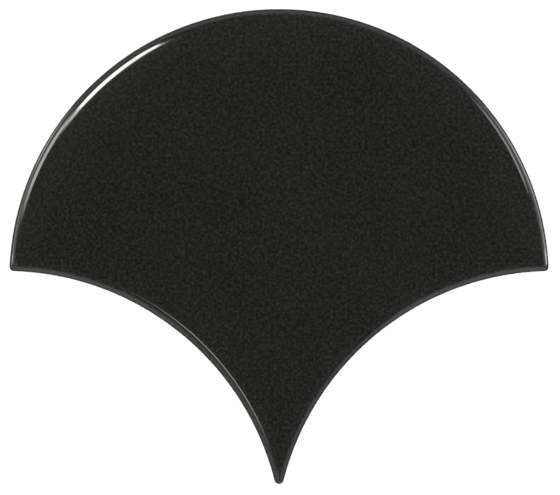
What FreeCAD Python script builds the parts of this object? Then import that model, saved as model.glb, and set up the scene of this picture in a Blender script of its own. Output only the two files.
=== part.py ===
import FreeCAD, Part
import math
import os

import Sketcher

# Fish scale wall tile: one piece of pressed, glazed and fired clay.
# In plan it is a round head whose lower half is scooped out on both sides by
# the heads of the tiles in the next row, down to a blunt tip. The glazed face
# rolls over into the wall all the way round and the roll is mitred at the two
# wings and at the tip. The back is keyed with a pressed waffle of shallow
# cells inside a plain border.
# Frame: millimetres, the back lies on z = 0 and the glazed face looks up, the
# head points to +Y, and the origin is the centre of the head's circle.

doc = FreeCAD.newDocument("fish_scale_tile")

# Driving dimensions: alias, size in mm, what it is.
dimensions = [
    ("head_radius", "60", "round head, and the distance from one laid row to the next"),
    ("joint_width", "1.75", "grout joint round a laid tile"),
    ("wing_radius", "0.9", "rounding of the two side corners in plan"),
    ("tip_radius", "1.05", "rounding of the tip in plan"),
    ("thickness", "8.3", "back to glazed face"),
    ("edge_roll", "2", "radius of the rolled edge between face and wall"),
    ("wall_lean", "0.16", "how far the wall draws in towards the back"),
    ("back_arris", "0.5", "chamfer between wall and back"),
    ("border_width", "5", "plain border of the back, from the wall's widest line"),
    ("field_corner", "3", "rounding of the waffle field's corners in plan"),
    ("cell_depth", "0.8", "depth of the waffle cells"),
    ("cell_draft", "0.3", "how far a rib's side leans out between crest and root"),
    ("rib_width", "2.2", "width of a rib's crest"),
    ("rib_pitch", "10", "distance from rib to rib"),
]

sizes = doc.addObject("Spreadsheet::Sheet", "sizes")
for row, (alias, size, meaning) in enumerate(dimensions, start=1):
    sizes.set(f"A{row}", meaning)
    sizes.set(f"B{row}", size)
    sizes.setAlias(f"B{row}", alias)
doc.recompute()

# How a sketch numbers the points of a line or an arc, its origin and its upright axis.
POINT = {"start": 1, "end": 2, "centre": 3}
ORIGIN = (-1, POINT["start"])
UPRIGHT = (-2,)

# Heights shared by the sections.
FACE = "sizes.thickness"
ROLL_FOOT = "sizes.thickness - sizes.edge_roll"
# The cutting sections reach this far past the back and the face.
CLEAR_BELOW = "-sizes.thickness"
CLEAR_ABOVE = "2 * sizes.thickness"


def number(expression):
    """The present value of an expression, for a sketch's first guess."""
    value = sizes.evalExpression(expression)
    return float(getattr(value, "Value", value))


def origin_plane(body, role):
    return next(plane for plane in body.Origin.OriginFeatures if plane.Role == role)


def new_sketch(body, name, role):
    sketch = body.newObject("Sketcher::SketchObject", name)
    sketch.AttachmentSupport = (origin_plane(body, role), [""])
    sketch.MapMode = "FlatFace"
    return sketch


def name_constraint(sketch, constraint, label, expression=None):
    place = sketch.addConstraint(constraint)
    sketch.renameConstraint(place, label)
    if expression:
        sketch.setExpression(f"Constraints.{label}", expression)
    return place


def pin(sketch, geometry, point, label, across, up):
    """Ties a point of a sketch to two expressions, measured from the sketch's origin."""
    for kind, expression in (("DistanceX", across), ("DistanceY", up)):
        name_constraint(
            sketch,
            Sketcher.Constraint(kind, *ORIGIN, geometry, point, number(expression)),
            f"{label}_{kind[-1].lower()}",
            expression,
        )


def nearest_end(sketch, geometry, place):
    ends = (POINT["start"], POINT["end"])
    return min(ends, key=lambda end: (sketch.getPoint(geometry, end) - place).Length)


def draw_section(sketch, corners, roll_from=None, roll_centre=None):
    """A closed section through corners, each a label and its place as expressions.
    The side that starts at roll_from is the rolled edge's arc."""
    guesses = [FreeCAD.Vector(number(across), number(up), 0) for _, across, up in corners]
    sides = []
    for i, (label, _, _) in enumerate(corners):
        first, last = guesses[i], guesses[(i + 1) % len(corners)]
        if label == roll_from:
            centre = FreeCAD.Vector(*(number(value) for value in roll_centre), 0)
            outward = ((first + last) * 0.5 - centre).normalize()
            crest = centre + outward * number("sizes.edge_roll")
            sides.append(sketch.addGeometry(Part.Arc(first, crest, last)))
            name_constraint(
                sketch,
                Sketcher.Constraint("Radius", sides[-1], number("sizes.edge_roll")),
                "roll",
                "sizes.edge_roll",
            )
        else:
            sides.append(sketch.addGeometry(Part.LineSegment(first, last)))
    for i, (label, across, up) in enumerate(corners):
        before, after = sides[i - 1], sides[i]
        start = nearest_end(sketch, after, guesses[i])
        end = nearest_end(sketch, before, guesses[i])
        sketch.addConstraint(Sketcher.Constraint("Coincident", before, end, after, start))
        pin(sketch, after, start, label, across, up)


def draw_outline(sketch, head, scallop, wing, tip):
    """The tile's outline as six tangent arcs: head, wings, scallops and tip.
    Every argument is an expression for the radius of that arc."""
    across = "sizes.head_radius + sizes.joint_width / 2"
    drop = "sizes.head_radius"
    head_r, scallop_r, wing_r, tip_r = (number(value) for value in (head, scallop, wing, tip))
    side, down = number(across), number(drop)

    # First guess: each small corner circle touches both of its neighbours.
    span = math.hypot(side, down)
    along = ((head_r - wing_r) ** 2 - (scallop_r + wing_r) ** 2 + span**2) / (2 * span)
    offset = math.sqrt((head_r - wing_r) ** 2 - along**2)
    wing_x = (along * side + offset * down) / span
    wing_y = (offset * side - along * down) / span
    tip_y = math.sqrt((scallop_r + tip_r) ** 2 - side**2) - down
    to_head = math.atan2(wing_y, wing_x)
    to_scallop = math.atan2(-down - wing_y, side - wing_x)
    to_tip = math.atan2(-down - tip_y, side)

    def add_arc(x, y, radius, first, last):
        circle = Part.Circle(FreeCAD.Vector(x, y, 0), FreeCAD.Vector(0, 0, 1), radius)
        return sketch.addGeometry(Part.ArcOfCircle(circle, first, last))

    head_arc = add_arc(0, 0, head_r, to_head, math.pi - to_head)
    left_wing = add_arc(-wing_x, wing_y, wing_r, math.pi - to_head, math.pi - to_scallop)
    left_scallop = add_arc(-side, -down, scallop_r, -to_tip, -to_scallop)
    tip_arc = add_arc(0, tip_y, tip_r, math.pi - to_tip, math.tau + to_tip)
    right_scallop = add_arc(side, -down, scallop_r, math.pi + to_scallop, math.pi + to_tip)
    right_wing = add_arc(wing_x, wing_y, wing_r, to_scallop, to_head)

    start, end, centre = POINT.values()
    for joint in (
        (head_arc, end, left_wing, start),
        (left_wing, end, left_scallop, end),
        (left_scallop, start, tip_arc, start),
        (tip_arc, end, right_scallop, end),
        (right_scallop, start, right_wing, start),
        (right_wing, end, head_arc, start),
    ):
        sketch.addConstraint(Sketcher.Constraint("Tangent", *joint))
    sketch.addConstraint(Sketcher.Constraint("Coincident", head_arc, centre, *ORIGIN))
    pin(sketch, right_scallop, centre, "scallop", across, f"-({drop})")
    scallops = (right_scallop, centre, left_scallop, centre)
    sketch.addConstraint(Sketcher.Constraint("Symmetric", *scallops, *UPRIGHT))
    sketch.addConstraint(Sketcher.Constraint("Equal", right_scallop, left_scallop))
    sketch.addConstraint(Sketcher.Constraint("Equal", right_wing, left_wing))
    for arc, label, expression in (
        (head_arc, "head_radius", head),
        (right_scallop, "scallop_radius", scallop),
        (right_wing, "wing_radius", wing),
        (tip_arc, "tip_radius", tip),
    ):
        radius = Sketcher.Constraint("Radius", arc, number(expression))
        name_constraint(sketch, radius, label, expression)

    # Measured, not driving: where the corners' centres come out.
    for label, kind, arc, value in (
        ("wing_x", "DistanceX", right_wing, wing_x),
        ("wing_y", "DistanceY", right_wing, wing_y),
        ("tip_y", "DistanceY", tip_arc, tip_y),
    ):
        constraint = Sketcher.Constraint(kind, *ORIGIN, arc, centre, value)
        sketch.setDriving(name_constraint(sketch, constraint, label), False)


def check_state(item):
    assert not {"Invalid", "Error"} & set(item.State), (item.Label, item.State)


def finish_feature(feature):
    doc.recompute()
    check_state(feature)
    return feature


def clay_volume(body):
    return body.Tip.Shape.Volume


def cut_round(body, name, sketch, turn=None):
    """A Groove round the sketch's upright axis, the full turn or an angle either side of it."""
    before = clay_volume(body)
    groove = body.newObject("PartDesign::Groove", name)
    groove.Profile = sketch
    groove.ReferenceAxis = (sketch, ["V_Axis"])
    if turn:
        groove.Midplane = True
        groove.setExpression("Angle", turn)
    body.Tip = finish_feature(groove)
    assert clay_volume(body) < before, name
    return groove


def mirror(body, name, feature):
    before = clay_volume(body)
    mirrored = body.newObject("PartDesign::Mirrored", name)
    mirrored.Originals = [feature]
    mirrored.MirrorPlane = (origin_plane(body, "YZ_Plane"), [""])
    body.Tip = finish_feature(mirrored)
    assert clay_volume(body) < before, name


# The pressed blank.
tile = doc.addObject("PartDesign::Body", "tile")
tile.Label = "pressed tile"

plan = new_sketch(tile, "plan", "XY_Plane")
plan.Label = "plan at the wall's widest line"
draw_outline(
    plan,
    head="sizes.head_radius",
    scallop="sizes.head_radius + sizes.joint_width",
    wing="sizes.wing_radius",
    tip="sizes.tip_radius",
)
finish_feature(plan)

# Directions that the corners span, seen from their centres.
corners = doc.addObject("App::VarSet", "corners")
for name, expression in (
    ("to_head", "atan2(plan.Constraints.wing_y; plan.Constraints.wing_x)"),
    (
        "to_scallop",
        "atan2(plan.Constraints.scallop_y - plan.Constraints.wing_y; "
        "plan.Constraints.scallop_x - plan.Constraints.wing_x)",
    ),
    (
        "tip_to_scallop",
        "atan2(plan.Constraints.scallop_y - plan.Constraints.tip_y; plan.Constraints.scallop_x)",
    ),
    ("wing_facing", "(to_head + to_scallop) / 2"),
    ("wing_turn", "to_head - to_scallop"),
    ("tip_turn", "180 deg + 2 * tip_to_scallop"),
):
    corners.addProperty("App::PropertyAngle", name)
    corners.setExpression(name, expression)
    doc.recompute()

# The head is a round cake with its rolled edge, leaning wall and back arris.
head_section = new_sketch(tile, "head_section", "XZ_Plane")
draw_section(
    head_section,
    [
        ("middle", "0", "0"),
        ("back", "sizes.head_radius - sizes.wall_lean - sizes.back_arris", "0"),
        ("arris", "sizes.head_radius - sizes.wall_lean", "sizes.back_arris"),
        ("wall", "sizes.head_radius", ROLL_FOOT),
        ("face", "sizes.head_radius - sizes.edge_roll", FACE),
        ("crown", "0", FACE),
    ],
    roll_from="wall",
    roll_centre=("sizes.head_radius - sizes.edge_roll", ROLL_FOOT),
)
head = tile.newObject("PartDesign::Revolution", "head")
head.Profile = head_section
head.ReferenceAxis = (head_section, ["V_Axis"])
tile.Tip = finish_feature(head)

# A scallop is cut by the neighbour's head grown by the joint, the same edge turned outwards.
SCALLOP = "sizes.head_radius + sizes.joint_width"
scallop_section = new_sketch(tile, "scallop_section", "XZ_Plane")
scallop_section.setExpression(".AttachmentOffset.Base.x", "plan.Constraints.scallop_x")
scallop_section.setExpression(".AttachmentOffset.Base.z", "-plan.Constraints.scallop_y")
draw_section(
    scallop_section,
    [
        ("under", "0", CLEAR_BELOW),
        ("below", f"{SCALLOP} + sizes.wall_lean + sizes.back_arris", CLEAR_BELOW),
        ("back", f"{SCALLOP} + sizes.wall_lean + sizes.back_arris", "0"),
        ("arris", f"{SCALLOP} + sizes.wall_lean", "sizes.back_arris"),
        ("wall", SCALLOP, ROLL_FOOT),
        ("face", f"{SCALLOP} + sizes.edge_roll", FACE),
        ("above", f"{SCALLOP} + sizes.edge_roll", CLEAR_ABOVE),
        ("over", "0", CLEAR_ABOVE),
    ],
    roll_from="wall",
    roll_centre=(f"{SCALLOP} + sizes.edge_roll", ROLL_FOOT),
)
right_scallop = cut_round(tile, "right_scallop", scallop_section)
mirror(tile, "left_scallop", right_scallop)


def corner_section(name, radius):
    """What a corner cut takes away: the same edge again, at a radius smaller than the roll,
    so that the roll closes to a point over the corner's own centre. It reaches out past
    the cusp that the round cuts leave beyond the corner."""
    sketch = new_sketch(tile, name, "XZ_Plane")
    inset = f"sizes.edge_roll - {radius}"
    point = f"{ROLL_FOOT} + sqrt(sizes.edge_roll ^ 2 - ({inset}) ^ 2)"
    outside = f"{radius} + sizes.head_radius"
    draw_section(
        sketch,
        [
            ("below", f"{radius} - sizes.wall_lean - sizes.back_arris", CLEAR_BELOW),
            ("under", outside, CLEAR_BELOW),
            ("over", outside, CLEAR_ABOVE),
            ("above", "0", CLEAR_ABOVE),
            ("point", "0", point),
            ("wall", radius, ROLL_FOOT),
            ("arris", f"{radius} - sizes.wall_lean", "sizes.back_arris"),
            ("back", f"{radius} - sizes.wall_lean - sizes.back_arris", "0"),
        ],
        roll_from="point",
        roll_centre=(f"-({inset})", ROLL_FOOT),
    )
    return sketch


wing_section = corner_section("wing_section", "sizes.wing_radius")
wing_section.AttachmentOffset = FreeCAD.Placement(
    FreeCAD.Vector(), FreeCAD.Rotation(FreeCAD.Vector(0, 1, 0), number("corners.wing_facing"))
)
wing_section.setExpression(".AttachmentOffset.Base.x", "plan.Constraints.wing_x")
wing_section.setExpression(".AttachmentOffset.Base.z", "-plan.Constraints.wing_y")
wing_section.setExpression(".AttachmentOffset.Rotation.Angle", "corners.wing_facing")
finish_feature(wing_section)
right_wing = cut_round(tile, "right_wing", wing_section, turn="corners.wing_turn")
mirror(tile, "left_wing", right_wing)

tip_section = corner_section("tip_section", "sizes.tip_radius")
tip_section.AttachmentOffset = FreeCAD.Placement(
    FreeCAD.Vector(), FreeCAD.Rotation(FreeCAD.Vector(0, 1, 0), -90)
)
tip_section.setExpression(".AttachmentOffset.Base.z", "-plan.Constraints.tip_y")
finish_feature(tip_section)
cut_round(tile, "tip", tip_section, turn="corners.tip_turn")

# The waffle pressed into the back, as a body of its own that is then cut from the tile.
waffle = doc.addObject("PartDesign::Body", "waffle")
waffle.Label = "waffle cells of the back"
waffle.AllowCompound = True

field_plan = new_sketch(waffle, "field_plan", "XY_Plane")
field_plan.Label = "waffle field inside the plain border"
draw_outline(
    field_plan,
    head="sizes.head_radius - sizes.border_width",
    scallop="sizes.head_radius + sizes.joint_width + sizes.border_width",
    wing="sizes.field_corner",
    tip="sizes.field_corner",
)
field = waffle.newObject("PartDesign::Pad", "field")
field.Profile = field_plan
field.setExpression("Length", "sizes.cell_depth")
waffle.Tip = finish_feature(field)

# Ribs each side of the middle one, enough to cross the whole field.
ribs = doc.addObject("App::VarSet", "ribs")
ribs.addProperty("App::PropertyInteger", "beside")
ribs.setExpression("beside", "floor((sizes.head_radius - sizes.border_width) / sizes.rib_pitch)")
doc.recompute()


def leave_ribs(name, role):
    """A row of ribs left standing between the cells: crests on the back, roots on the floor."""
    crest = "sizes.rib_width / 2"
    root = "sizes.rib_width / 2 + sizes.cell_draft"
    first = "-ribs.beside * sizes.rib_pitch"
    section = new_sketch(waffle, f"{name}_section", role)
    draw_section(
        section,
        [
            ("crest_left", f"{first} - ({crest})", "0"),
            ("crest_right", f"{first} + {crest}", "0"),
            ("root_right", f"{first} + {root}", "sizes.cell_depth"),
            ("root_left", f"{first} - ({root})", "sizes.cell_depth"),
        ],
    )
    before = clay_volume(waffle)
    rib = waffle.newObject("PartDesign::Pocket", f"{name}_first")
    rib.Profile = section
    rib.SideType = "Symmetric"
    rib.setExpression("Length", "4 * sizes.head_radius")
    waffle.Tip = finish_feature(rib)
    row = waffle.newObject("PartDesign::LinearPattern", name)
    row.Originals = [rib]
    row.Direction = (section, ["H_Axis"])
    row.Mode = "Spacing"
    row.setExpression("Offset", "sizes.rib_pitch")
    row.setExpression("Occurrences", "2 * ribs.beside + 1")
    waffle.Tip = finish_feature(row)
    assert clay_volume(waffle) < before, name


leave_ribs("upright_ribs", "XZ_Plane")
leave_ribs("level_ribs", "YZ_Plane")

before = clay_volume(tile)
press_back = tile.newObject("PartDesign::Boolean", "press_back")
press_back.Type = "Cut"
press_back.setObjects([waffle])
tile.Tip = finish_feature(press_back)
assert clay_volume(tile) < before

doc.recompute()
for item in doc.Objects:
    check_state(item)

pieces = {"scale_tile": tile}
os.makedirs("parts", exist_ok=True)
for node, body in pieces.items():
    shape = body.Shape
    assert not shape.isNull() and shape.isValid() and len(shape.Solids) == 1, node
    shape.exportStep(f"parts/{node}.step")
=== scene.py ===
import math
import bmesh
import bpy
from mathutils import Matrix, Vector


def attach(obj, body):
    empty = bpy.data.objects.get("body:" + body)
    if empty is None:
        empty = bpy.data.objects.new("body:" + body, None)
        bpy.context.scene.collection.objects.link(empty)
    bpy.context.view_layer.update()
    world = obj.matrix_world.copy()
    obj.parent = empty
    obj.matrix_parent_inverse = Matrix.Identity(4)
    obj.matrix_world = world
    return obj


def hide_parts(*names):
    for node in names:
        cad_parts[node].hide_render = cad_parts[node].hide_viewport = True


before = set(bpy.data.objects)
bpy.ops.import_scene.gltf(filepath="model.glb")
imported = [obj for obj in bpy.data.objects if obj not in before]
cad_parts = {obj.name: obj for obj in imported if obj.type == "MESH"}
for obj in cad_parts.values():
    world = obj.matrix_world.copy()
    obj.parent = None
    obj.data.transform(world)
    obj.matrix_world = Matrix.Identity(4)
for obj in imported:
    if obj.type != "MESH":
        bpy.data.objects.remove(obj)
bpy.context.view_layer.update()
scene = bpy.context.scene
mm = 0.001
print("frame loaded")

# How near two points are before they count as one: where bands meet, along a cut, and where
# two cuts pass close to each other.
weld = {"seam": 0.0005 * mm, "cut": 0.001 * mm, "sliver": 0.01 * mm}


def deselectAll():
    if bpy.context.object and bpy.context.object.mode == 'EDIT':
        bpy.ops.mesh.select_all(action='DESELECT')
    else:
        bpy.ops.object.select_all(action='DESELECT')


# Selects the vertices, edges or faces of the mesh in edit mode that wanted says yes to.
def selectWhere(obj, kind, wanted):
    modes = {'verts': 'VERT', 'edges': 'EDGE', 'faces': 'FACE'}
    bpy.ops.mesh.select_mode(type=modes[kind])
    deselectAll()
    mesh = bmesh.from_edit_mesh(obj.data)
    for part in getattr(mesh, kind):
        if wanted(part):
            part.select_set(True)
    mesh.select_flush_mode()
    bmesh.update_edit_mesh(obj.data)


tile = {
    "headRadius": 60 * mm,
    "joint": 1.75 * mm,       # a scallop is this much wider than a head
    "wingRadius": 0.9 * mm,
    "tipRadius": 1.05 * mm,
    "thickness": 8.3 * mm,
    "roll": 2.0 * mm,
    "rollSteps": 20,
    "ridge": 0.22 * mm,       # the glaze rounds the mitres this much
    "headSteps": 170,         # from the top of the head to a wing
    "scallopSteps": 140,
    "cornerSteps": 10,
    # The face is very slightly cushioned: it slopes this many degrees where the roll ends, and
    # is flat this far inside it, where the corners of its level lines are this round. The slope
    # dies away by the power, and the rings lie closer together towards the roll.
    "faceSlope": 1.2,
    "cushion": 18 * mm,
    "cushionCorner": 8 * mm,
    "cushionPower": 3,
    "cushionSteps": 10,
    "cushionSpacing": 1.6,
    # From the foot up the wall: mm in from the widest line, and mm up.
    "wall": [
        (1.60, 0.0), (0.90, 0.0), (0.72, 0.015), (0.62, 0.06), (0.50, 0.16), (0.30, 0.36),
        (0.20, 0.48), (0.155, 0.62), (0.14, 1.1), (0.11, 2.2), (0.08, 3.3), (0.05, 4.4),
        (0.02, 5.4),
    ],
    "smoothAngle": 35,        # degrees: a sharper edge than this is left sharp
}
scallopX = tile["headRadius"] + tile["joint"] / 2
scallopY = -tile["headRadius"]
scallopRadius = tile["headRadius"] + tile["joint"]


# The right half of the outline, set in by inset, as arcs: centre, turn and steps of each.
def ringArcs(inset, corner=None):
    head = tile["headRadius"] - inset
    scallop = scallopRadius + inset
    wing = corner or max(tile["wingRadius"] - inset, tile["ridge"])
    tip = corner or max(tile["tipRadius"] - inset, tile["ridge"])
    span = math.hypot(scallopX, scallopY)
    along = ((head - wing) ** 2 - (scallop + wing) ** 2 + span ** 2) / (2 * span)
    offset = math.sqrt((head - wing) ** 2 - along ** 2)
    wingX = (along * scallopX - offset * scallopY) / span
    wingY = (offset * scallopX + along * scallopY) / span
    tipY = math.sqrt((scallop + tip) ** 2 - scallopX ** 2) + scallopY
    toHead = math.atan2(wingY, wingX)
    toScallop = math.atan2(scallopY - wingY, scallopX - wingX)
    toTip = math.atan2(scallopY - tipY, scallopX)
    return head, [
        (0, 0, math.pi / 2 - toHead, tile["headSteps"]),
        (wingX, wingY, toHead - toScallop, tile["cornerSteps"]),
        (scallopX, scallopY, toScallop - toTip, tile["scallopSteps"]),
        (0, tipY, math.pi / 2 + toTip, tile["cornerSteps"]),
    ]


# One ring: a vertex at the top of the head, spun down the right side to the tip.
def drawRing(inset, height, corner=None):
    head, arcs = ringArcs(inset, corner)
    deselectAll()
    bpy.ops.mesh.primitive_plane_add(size=1 * mm, location=(0, head, height))
    bpy.ops.mesh.merge(type='CENTER')
    for x, y, turn, steps in arcs:
        bpy.ops.mesh.spin(steps=steps, angle=turn, center=(x, y, height), axis=(0, 0, 1))


# A band of faces between two rings, as a mesh of its own.
def drawBand(name, lower, upper):
    deselectAll()
    bpy.ops.mesh.primitive_plane_add(size=1 * mm)
    band = bpy.context.object
    band.name = name
    bpy.ops.object.mode_set(mode='EDIT')
    bpy.ops.mesh.select_mode(type='VERT')
    bpy.ops.mesh.delete(type='VERT')
    drawRing(*lower)
    drawRing(*upper)
    bpy.ops.mesh.select_all(action='SELECT')
    bpy.ops.mesh.bridge_edge_loops()
    bpy.ops.object.mode_set(mode='OBJECT')
    return band


def joinPieces(name, pieces):
    deselectAll()
    for piece in pieces:
        piece.select_set(True)
    bpy.context.view_layer.objects.active = pieces[0]
    bpy.ops.object.join()
    whole = bpy.context.object
    whole.name = name
    bpy.ops.object.mode_set(mode='EDIT')
    bpy.ops.mesh.select_all(action='SELECT')
    bpy.ops.mesh.remove_doubles(threshold=weld["seam"])
    bpy.ops.mesh.normals_make_consistent(inside=False)
    bpy.ops.object.mode_set(mode='OBJECT')
    return whole


# The bands between all the rings, mirrored, with the hole inside the last ring closed. The
# first ring lies at nought and stays open.
def drawShell(name, rings):
    bands = [drawBand(f"{name}{i}", *rings[i:i + 2]) for i in range(len(rings) - 1)]
    shell = joinPieces(name, bands)
    leftHalf = shell.modifiers.new("left half", 'MIRROR')
    leftHalf.merge_threshold = weld["seam"]
    bpy.ops.object.modifier_apply(modifier=leftHalf.name)
    bpy.ops.object.mode_set(mode='EDIT')
    selectWhere(shell, 'edges', lambda edge: edge.is_boundary and edge.verts[0].co.z > 0)
    bpy.ops.mesh.edge_face_add()
    bpy.ops.object.mode_set(mode='OBJECT')
    return shell


rings = [(inset * mm, height * mm) for inset, height in tile["wall"]]
slope = math.radians(tile["faceSlope"])
rise = math.tan(slope) * tile["cushion"] / tile["cushionPower"]
rollCentre = tile["thickness"] - rise - tile["roll"] * math.cos(slope)
for step in range(tile["rollSteps"] + 1):
    turn = (math.pi / 2 - slope) * step / tile["rollSteps"]
    inset = tile["roll"] * (1 - math.cos(turn))
    rings.append((inset, rollCentre + tile["roll"] * math.sin(turn)))
rollEnd = inset
for step in range(1, tile["cushionSteps"] + 1):
    share = (step / tile["cushionSteps"]) ** tile["cushionSpacing"]
    corner = tile["ridge"] + (tile["cushionCorner"] - tile["ridge"]) * share
    height = tile["thickness"] - rise * (1 - share) ** tile["cushionPower"]
    rings.append((rollEnd + tile["cushion"] * share, height, corner))
front = drawShell("front", rings)
print("wall, roll and face drawn:", len(front.data.polygons), "faces")

keyedBack = {
    "border": 5 * mm,
    "corner": 3 * mm,
    "ribWidth": 2.2 * mm,
    "ribPitch": 10 * mm,
    # The side of a cell, soft where it leaves the rib and where it meets the floor: mm out from
    # the rib's edge, and mm deep.
    "side": [(-0.10, 0.0), (-0.02, 0.035), (0.06, 0.16), (0.24, 0.64), (0.32, 0.765), (0.40, 0.8)],
}


# How far a place along one axis lies from the edge of the nearest rib.
def fromRib(value):
    middle = round(value / keyedBack["ribPitch"]) * keyedBack["ribPitch"]
    return abs(value - middle) - keyedBack["ribWidth"] / 2


# The whole field is sunk first, its border drafted as the cells' sides are.
side = [(out * mm, depth * mm) for out, depth in keyedBack["side"]]
field = [rings[0]]
for out, depth in side:
    field.append((keyedBack["border"] + out, depth, keyedBack["corner"] - out))
back = drawShell("back", field)

# The sides of the ribs are cut across the field, and the ribs are flattened up to their height.
bpy.ops.object.mode_set(mode='EDIT')
selectWhere(back, 'faces', lambda face: face.calc_center_median().z > 0)
bpy.ops.mesh.hide(unselected=True)
ribs = int((tile["headRadius"] - keyedBack["border"]) // keyedBack["ribPitch"])
cuts = [keyedBack["ribWidth"] / 2 + out for out, depth in side]
for axis in (Vector((1, 0, 0)), Vector((0, 1, 0))):
    for rib in range(-ribs, ribs + 1):
        for way in (-1, 1):
            for cut in cuts:
                cutPlace = axis * (rib * keyedBack["ribPitch"] + way * cut)
                bpy.ops.mesh.select_all(action='SELECT')
                bpy.ops.mesh.bisect(plane_co=cutPlace, plane_no=axis, threshold=weld["cut"])
bpy.ops.mesh.select_all(action='SELECT')
bpy.ops.mesh.remove_doubles(threshold=weld["sliver"])
for out, depth in reversed(side[:-1]):
    reach = out + weld["cut"]
    selectWhere(back, 'verts', lambda vert: (
        vert.co.z > depth and min(fromRib(vert.co.x), fromRib(vert.co.y)) < reach))
    bpy.ops.transform.resize(value=(1, 1, 0), center_override=(0, 0, depth))
bpy.ops.mesh.reveal(select=False)
bpy.ops.object.mode_set(mode='OBJECT')
print("back keyed:", len(back.data.polygons), "faces")

glazedTile = joinPieces("glazedTile", [front, back])
bpy.ops.object.shade_smooth_by_angle(angle=math.radians(tile["smoothAngle"]))
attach(glazedTile, "root")
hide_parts("scale_tile")


def newMaterial(name):
    material = bpy.data.materials.new(name)
    material.use_nodes = True
    nodes, links = material.node_tree.nodes, material.node_tree.links
    nodes.clear()
    shader = nodes.new('ShaderNodeBsdfPrincipled')
    output = nodes.new('ShaderNodeOutputMaterial')
    links.new(shader.outputs['BSDF'], output.inputs['Surface'])
    return material, nodes, links, shader


# Feeds an input from another node's output, or sets it to a plain value.
def feed(links, socket, source):
    if isinstance(source, bpy.types.NodeSocket):
        links.new(source, socket)
    else:
        socket.default_value = source


def addMath(tree, operation, first, second=0.0, clamp=False):
    node = tree.nodes.new('ShaderNodeMath')
    node.operation = operation
    node.use_clamp = clamp
    feed(tree.links, node.inputs[0], first)
    feed(tree.links, node.inputs[1], second)
    return node.outputs[0]


# Goes from nought to one as the value goes from start to end, or back where start is the larger.
def addRise(tree, value, start, end):
    node = tree.nodes.new('ShaderNodeMapRange')
    node.interpolation_type = 'SMOOTHSTEP'
    feed(tree.links, node.inputs['Value'], value)
    feed(tree.links, node.inputs['From Min'], start)
    feed(tree.links, node.inputs['From Max'], end)
    return node.outputs[0]


def addMix(tree, share, first, second):
    node = tree.nodes.new('ShaderNodeMix')
    node.data_type = 'RGBA'
    feed(tree.links, node.inputs['Factor'], share)
    feed(tree.links, node.inputs['A'], first)
    feed(tree.links, node.inputs['B'], second)
    return node.outputs['Result']


# A cloudy value round one half, for mottling, grain and waves.
mottle = bpy.data.node_groups.new("mottle", 'ShaderNodeTree')
mottle.interface.new_socket("Place", in_out='INPUT', socket_type='NodeSocketVector')
for name in ("Size", "Detail", "Contrast", "Seed"):
    mottle.interface.new_socket(name, in_out='INPUT', socket_type='NodeSocketFloat')
mottle.interface.new_socket("Value", in_out='OUTPUT', socket_type='NodeSocketFloat')
groupIn = mottle.nodes.new('NodeGroupInput').outputs
groupOut = mottle.nodes.new('NodeGroupOutput').inputs
noise = mottle.nodes.new('ShaderNodeTexNoise')
noise.noise_dimensions = '4D'
mottle.links.new(groupIn["Place"], noise.inputs['Vector'])
mottle.links.new(groupIn["Seed"], noise.inputs['W'])
mottle.links.new(groupIn["Detail"], noise.inputs['Detail'])
mottle.links.new(addMath(mottle, 'DIVIDE', 1.0, groupIn["Size"]), noise.inputs['Scale'])
centred = addMath(mottle, 'SUBTRACT', noise.outputs[0], 0.5)
spread = addMath(mottle, 'MULTIPLY', centred, groupIn["Contrast"])
mottle.links.new(addMath(mottle, 'ADD', spread, 0.5, clamp=True), groupOut["Value"])


# The last four are the size of one cloud, how much fine detail it has, the contrast and the
# seed. The dictionaries below give them in this order.
def addMottle(tree, place, size, detail, contrast, seed):
    node = tree.nodes.new('ShaderNodeGroup')
    node.node_tree = mottle
    for socket, value in zip(node.inputs, (place, size, detail, contrast, seed)):
        feed(tree.links, socket, value)
    return node.outputs["Value"]


floor = {
    "size": 4.0,
    "drop": 0.02 * mm,        # keeps it clear of the tile's back
    "pale": (0.92, 0.92, 0.92, 1),
    "deep": (0.88, 0.88, 0.88, 1),
    "patches": (0.25, 2.0, 1.0, 4.0),
    "rough": 0.9,
}
deselectAll()
bpy.ops.mesh.primitive_plane_add(size=floor["size"], location=(0, 0, -floor["drop"]))
ground = bpy.context.object
ground.name = "floor"
ground.visible_glossy = False
floorPaint, nodes, links, shader = newMaterial("floor paint")
tree = floorPaint.node_tree
place = nodes.new('ShaderNodeTexCoord').outputs['Object']
patches = addMottle(tree, place, *floor["patches"])
links.new(addMix(tree, patches, floor["deep"], floor["pale"]), shader.inputs['Base Color'])
shader.inputs['Roughness'].default_value = floor["rough"]
shader.inputs['Specular IOR Level'].default_value = 0.0
ground.data.materials.append(floorPaint)

glaze = {
    "dark": (0.0012, 0.0011, 0.0006, 1),
    "light": (0.0120, 0.0116, 0.0104, 1),
    "mottle": (0.63 * mm, 0.5, 1.8, 0.0),
    "mottleEdgeSheen": 0.5,        # so much more contrast towards the edge of the face: painted reflection of the room's light in its ripples
    "mottleCurve": 1.5,       # more of the mottle is dark than light
    "clouds": (14 * mm, 3.0, 0.42, 2.0),   # a slightly paler and a slightly darker black
    "rough": 0.05,
    "peel": (3.5 * mm, 1.0, 1.0, 6.0),     # slow waves, as on any fired glaze
    "peelHeight": 0.002 * mm,
    "line": (9 * mm, 2.0, 1.0, 1.0),       # how the line where it stops wanders on the wall
    "lineHeight": 1.5 * mm,
    "lineWander": 2.4 * mm,
    "lineSoft": 0.08 * mm,
    "thinBand": 0.5 * mm,     # it is thin and brown just above that line
    "thin": (0.050, 0.026, 0.013, 1),
    "coatHeight": 0.10 * mm,  # it stands this far out from the clay
    "coatEdge": 0.20 * mm,    # and does so this far above the line
}
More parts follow.
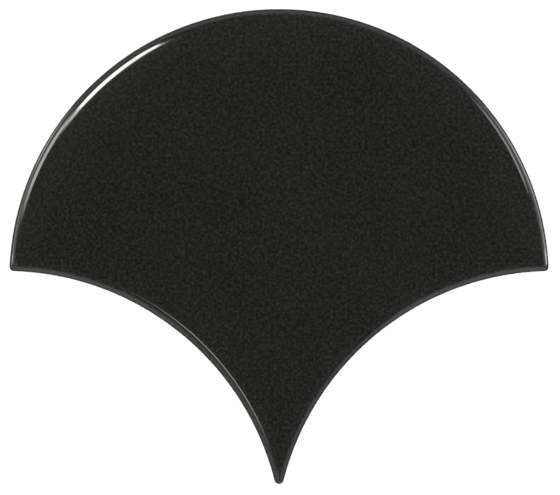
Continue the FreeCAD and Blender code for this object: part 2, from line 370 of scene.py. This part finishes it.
clay = {
    "pale": (0.66, 0.60, 0.50, 1),
    "deep": (0.50, 0.42, 0.32, 1),
    "patches": (7 * mm, 3.0, 2.0, 3.0),
    "grain": (0.35 * mm, 2.0, 1.6, 5.0),
    "grainShare": 0.35,
    "grainHeight": 0.05 * mm,
    "dust": (0.78, 0.76, 0.72, 1),
    "dustHeight": 0.35 * mm,  # kiln wash stays on the parts that touch the shelf
    "dustShare": 0.55,
    "rough": 0.92,
}
glazedClay, nodes, links, shader = newMaterial("black glaze on clay")
tree = glazedClay.node_tree
place = nodes.new('ShaderNodeTexCoord').outputs['Object']
axes = nodes.new('ShaderNodeSeparateXYZ')
links.new(place, axes.inputs['Vector'])
height = axes.outputs['Z']

# The glaze ends on the wall in an uneven line: glazed is one above it and nought below.
wander = addMath(tree, 'SUBTRACT', addMottle(tree, place, *glaze["line"]), 0.5)
wander = addMath(tree, 'MULTIPLY', wander, glaze["lineWander"])
aboveLine = addMath(tree, 'SUBTRACT', height, wander)
aboveLine = addMath(tree, 'SUBTRACT', aboveLine, glaze["lineHeight"])
glazed = addRise(tree, aboveLine, -glaze["lineSoft"], glaze["lineSoft"])
thick = addRise(tree, aboveLine, 0.0, glaze["thinBand"])

# The face is lowest at its edge, and there the fine mottle is stronger: painted reflection,
# standing in for the flicker of the room's light in small ripples on the sloping edge.
size, detail, contrast, seed = glaze["mottle"]
edgeSheen = addRise(tree, height, tile["thickness"], tile["thickness"] - rise)
contrast = addMath(tree, 'ADD', addMath(tree, 'MULTIPLY', edgeSheen, glaze["mottleEdgeSheen"]), contrast)
mottled = addMottle(tree, place, size, detail, contrast, seed)
mottled = addMath(tree, 'POWER', mottled, glaze["mottleCurve"])
clouds = addMath(tree, 'SUBTRACT', addMottle(tree, place, *glaze["clouds"]), 0.5)
mottled = addMath(tree, 'ADD', mottled, clouds)
glazeColour = addMix(tree, mottled, glaze["dark"], glaze["light"])
glazeColour = addMix(tree, thick, glaze["thin"], glazeColour)

patches = addMottle(tree, place, *clay["patches"])
grain = addMottle(tree, place, *clay["grain"])
clayColour = addMix(tree, patches, clay["deep"], clay["pale"])
grainy = addMath(tree, 'MULTIPLY', grain, clay["grainShare"])
clayColour = addMix(tree, grainy, clayColour, clay["deep"])
dusty = addRise(tree, height, clay["dustHeight"], 0.0)
dusty = addMath(tree, 'MULTIPLY', dusty, addMath(tree, 'MULTIPLY', patches, clay["dustShare"]))
clayColour = addMix(tree, dusty, clayColour, clay["dust"])

links.new(addMix(tree, glazed, clayColour, glazeColour), shader.inputs['Base Color'])
roughness = nodes.new('ShaderNodeMapRange')
links.new(glazed, roughness.inputs['Value'])
roughness.inputs['To Min'].default_value = clay["rough"]
roughness.inputs['To Max'].default_value = glaze["rough"]
links.new(roughness.outputs[0], shader.inputs['Roughness'])

peel = addMath(tree, 'MULTIPLY', addMottle(tree, place, *glaze["peel"]), glaze["peelHeight"])
coat = addRise(tree, aboveLine, -glaze["lineSoft"], glaze["coatEdge"])
coat = addMath(tree, 'MULTIPLY', coat, glaze["coatHeight"])
bare = addMath(tree, 'SUBTRACT', 1.0, glazed)
bare = addMath(tree, 'MULTIPLY', bare, addMath(tree, 'MULTIPLY', grain, clay["grainHeight"]))
relief = addMath(tree, 'ADD', addMath(tree, 'ADD', peel, coat), bare)
bump = nodes.new('ShaderNodeBump')
bump.inputs['Distance'].default_value = 1.0   # the relief is in metres already
links.new(relief, bump.inputs['Height'])
links.new(bump.outputs['Normal'], shader.inputs['Normal'])
glazedTile.data.materials.clear()
glazedTile.data.materials.append(glazedClay)
print("finishes made")

studio = {
    "overhead": {"height": 1.6, "size": 1.6, "radiance": 7.6},
    "warmth": (1.0, 0.992, 0.955, 1),
    # How bright the room is, by the angle from straight up. Angles here are in degrees.
    "room": [
        (0, 0.175), (1.8, 0.18), (5.2, 0.28), (18, 0.285), (32, 0.3), (45, 0.44), (60, 0.72),
        (75, 1.0), (93, 0.95), (112, 0.52), (141, 0.12), (180, 0.03),
    ],
    # Each soft box: the azimuths where it starts, is full, is still full and ends, the same four
    # for its angle from straight up, how far it leans to the top for each degree of azimuth, and
    # its radiance. A dark flag is a soft box that takes light away.
    "softBoxes": {
        "keyTip": ((116.5, 118.5, 118, 122), (7.5, 11.5, 34, 43), 0, 27),
        "key": ((118, 122, 138.4, 141.8), (9, 13, 39.5, 48.5), 0.15, 27),
        "keyFoot": ((120, 130, 138, 141), (5.4, 7.6, 9, 13), 0, 27),
        "keyGlow": ((112, 120, 136, 146), (3.2, 6.8, 20, 30), 0, 0.4),
        "keyEdge": ((138, 141, 142.5, 147.5), (7, 9.5, 30, 42), 0, 7.0),
        "keyEdgeFoot": ((139, 142, 144, 147), (5.4, 7.6, 13, 24), 0, 3.2),
        "left": ((139.5, 147, 157, 170), (19, 28, 53, 66), -0.25, 9.0),
        "leftTable": ((138, 147, 175.5, 177.8), (93, 103, 116, 127), 0.5, 1.6),
        "leftTableGlow": ((141, 151, 153, 158), (93, 103, 116, 127), 0.5, 2.3),
        "leftFill": ((163, 169, 175.5, 178), (54, 62, 84, 92), 0, 0.7),
        "leftTableEnd": ((174.5, 175.8, 176.8, 177.6), (80, 88, 100, 110), 0, 3.2),
        "right": ((17, 23, 35, 45), (18, 26, 39, 49), -0.4, 5.4),
        "rightFill": ((2, 6, 33, 43), (53, 61, 90, 100), 0, 0.55),
        "rightTable": ((1, 3.5, 32, 44), (82, 92, 107, 120), 0, 2.2),
        "rightTableEnd": ((2.4, 3.4, 4.7, 6.6), (80, 90, 106, 118), 0, 5.0),
        "rightTableFoot": ((4, 5.5, 8.5, 10.5), (78, 88, 107, 120), 0, 1.0),
        "rightTableGlow": ((14, 22, 28, 35), (82, 92, 107, 120), 0, 1.7),
        "lowerLeft": ((-158.5, -147, -132, -118.5), (38.7, 43.7, 49.7, 55.7), 0.9, 6.0),
        "below": ((-132, -122, -58, -48), (48, 68, 112, 128), 0, 0.3),
        "lowerRightFlag": ((-64, -48, -24, -16), (34, 46, 60, 80), 0, -0.28),
        "topFlag": ((94, 102, 115, 120), (32, 42, 58, 70), 0, -0.15),
    },
}
straightDown = 180.0

overhead = bpy.data.lights.new("overhead", 'AREA')
overhead.size = studio["overhead"]["size"]
overhead.energy = studio["overhead"]["radiance"] * math.pi * overhead.size ** 2
lamp = bpy.data.objects.new("overhead", overhead)
scene.collection.objects.link(lamp)
lamp.location = (0, 0, studio["overhead"]["height"])
lamp.visible_camera = False
lamp.visible_glossy = False

softBox = bpy.data.node_groups.new("soft box", 'ShaderNodeTree')
for name in ("Azimuth", "Polar", "Azimuth 1", "Azimuth 2", "Azimuth 3", "Azimuth 4",
             "Polar 1", "Polar 2", "Polar 3", "Polar 4", "Lean", "Radiance"):
    softBox.interface.new_socket(name, in_out='INPUT', socket_type='NodeSocketFloat')
softBox.interface.new_socket("Light", in_out='OUTPUT', socket_type='NodeSocketFloat')
groupIn = softBox.nodes.new('NodeGroupInput').outputs
groupOut = softBox.nodes.new('NodeGroupOutput').inputs
alongBox = addMath(softBox, 'SUBTRACT', groupIn["Azimuth"], groupIn["Azimuth 1"])
leant = addMath(softBox, 'MULTIPLY', alongBox, groupIn["Lean"])
leant = addMath(softBox, 'ADD', groupIn["Polar"], leant)
light = groupIn["Radiance"]
for way, value in (("Azimuth", groupIn["Azimuth"]), ("Polar", leant)):
    for first, second in (("1", "2"), ("4", "3")):
        edge = addRise(softBox, value, groupIn[f"{way} {first}"], groupIn[f"{way} {second}"])
        light = addMath(softBox, 'MULTIPLY', light, edge)
softBox.links.new(light, groupOut["Light"])

# The room and its soft boxes are seen only in reflections. The overhead light does the rest.
world = bpy.data.worlds.new("studio")
world.use_nodes = True
scene.world = world
world.cycles_visibility.diffuse = False
room = world.node_tree
room.nodes.clear()
direction = room.nodes.new('ShaderNodeTexCoord')
axes = room.nodes.new('ShaderNodeSeparateXYZ')
ramp = room.nodes.new('ShaderNodeValToRGB')
background = room.nodes.new('ShaderNodeBackground')
output = room.nodes.new('ShaderNodeOutputWorld')
room.links.new(direction.outputs['Generated'], axes.inputs['Vector'])
stops = ramp.color_ramp.elements
for i, (angle, value) in enumerate(studio["room"]):
    stop = stops[i] if i < 2 else stops.new(angle / straightDown)
    stop.position = angle / straightDown
    stop.color = (value, value, value, 1)
azimuth = addMath(room, 'DEGREES', addMath(room, 'ARCTAN2', axes.outputs['Y'], axes.outputs['X']))
polar = addMath(room, 'DEGREES', addMath(room, 'ARCCOSINE', axes.outputs['Z']))
room.links.new(addMath(room, 'DIVIDE', polar, straightDown), ramp.inputs['Fac'])
total = ramp.outputs['Color']
for name, (azimuths, polars, lean, radiance) in studio["softBoxes"].items():
    box = room.nodes.new('ShaderNodeGroup')
    box.node_tree = softBox
    box.label = name
    for socket, value in zip(box.inputs, (azimuth, polar, *azimuths, *polars, lean, radiance)):
        feed(room.links, socket, value)
    total = addMath(room, 'ADD', total, box.outputs["Light"])
background.inputs['Color'].default_value = studio["warmth"]
room.links.new(total, background.inputs['Strength'])
room.links.new(background.outputs['Background'], output.inputs['Surface'])
print("studio lit")

# The picture's size, where the middle of the head lies in it and how far round it reaches, in
# pixels. The camera looks straight down, at the height where the head spans that many.
picture = {"width": 560, "height": 495, "centreX": 279.06, "centreY": 278.9, "headPixels": 269.84}
camera = {"lens": 400.0, "sensor": 36.0, "near": 0.01, "far": 20.0}
pixel = tile["headRadius"] / picture["headPixels"]
lens = bpy.data.cameras.new("camera")
lens.lens = camera["lens"]
lens.sensor_width = camera["sensor"]
lens.clip_start = camera["near"]
lens.clip_end = camera["far"]
eye = bpy.data.objects.new("camera", lens)
scene.collection.objects.link(eye)
eye.location = (
    (picture["width"] / 2 - picture["centreX"]) * pixel,
    (picture["centreY"] - picture["height"] / 2) * pixel,
    tile["thickness"] - tile["roll"] + camera["lens"] / camera["sensor"] * picture["width"] * pixel,
)
scene.camera = eye
scene.view_settings.view_transform = 'Standard'
scene.view_settings.look = 'None'
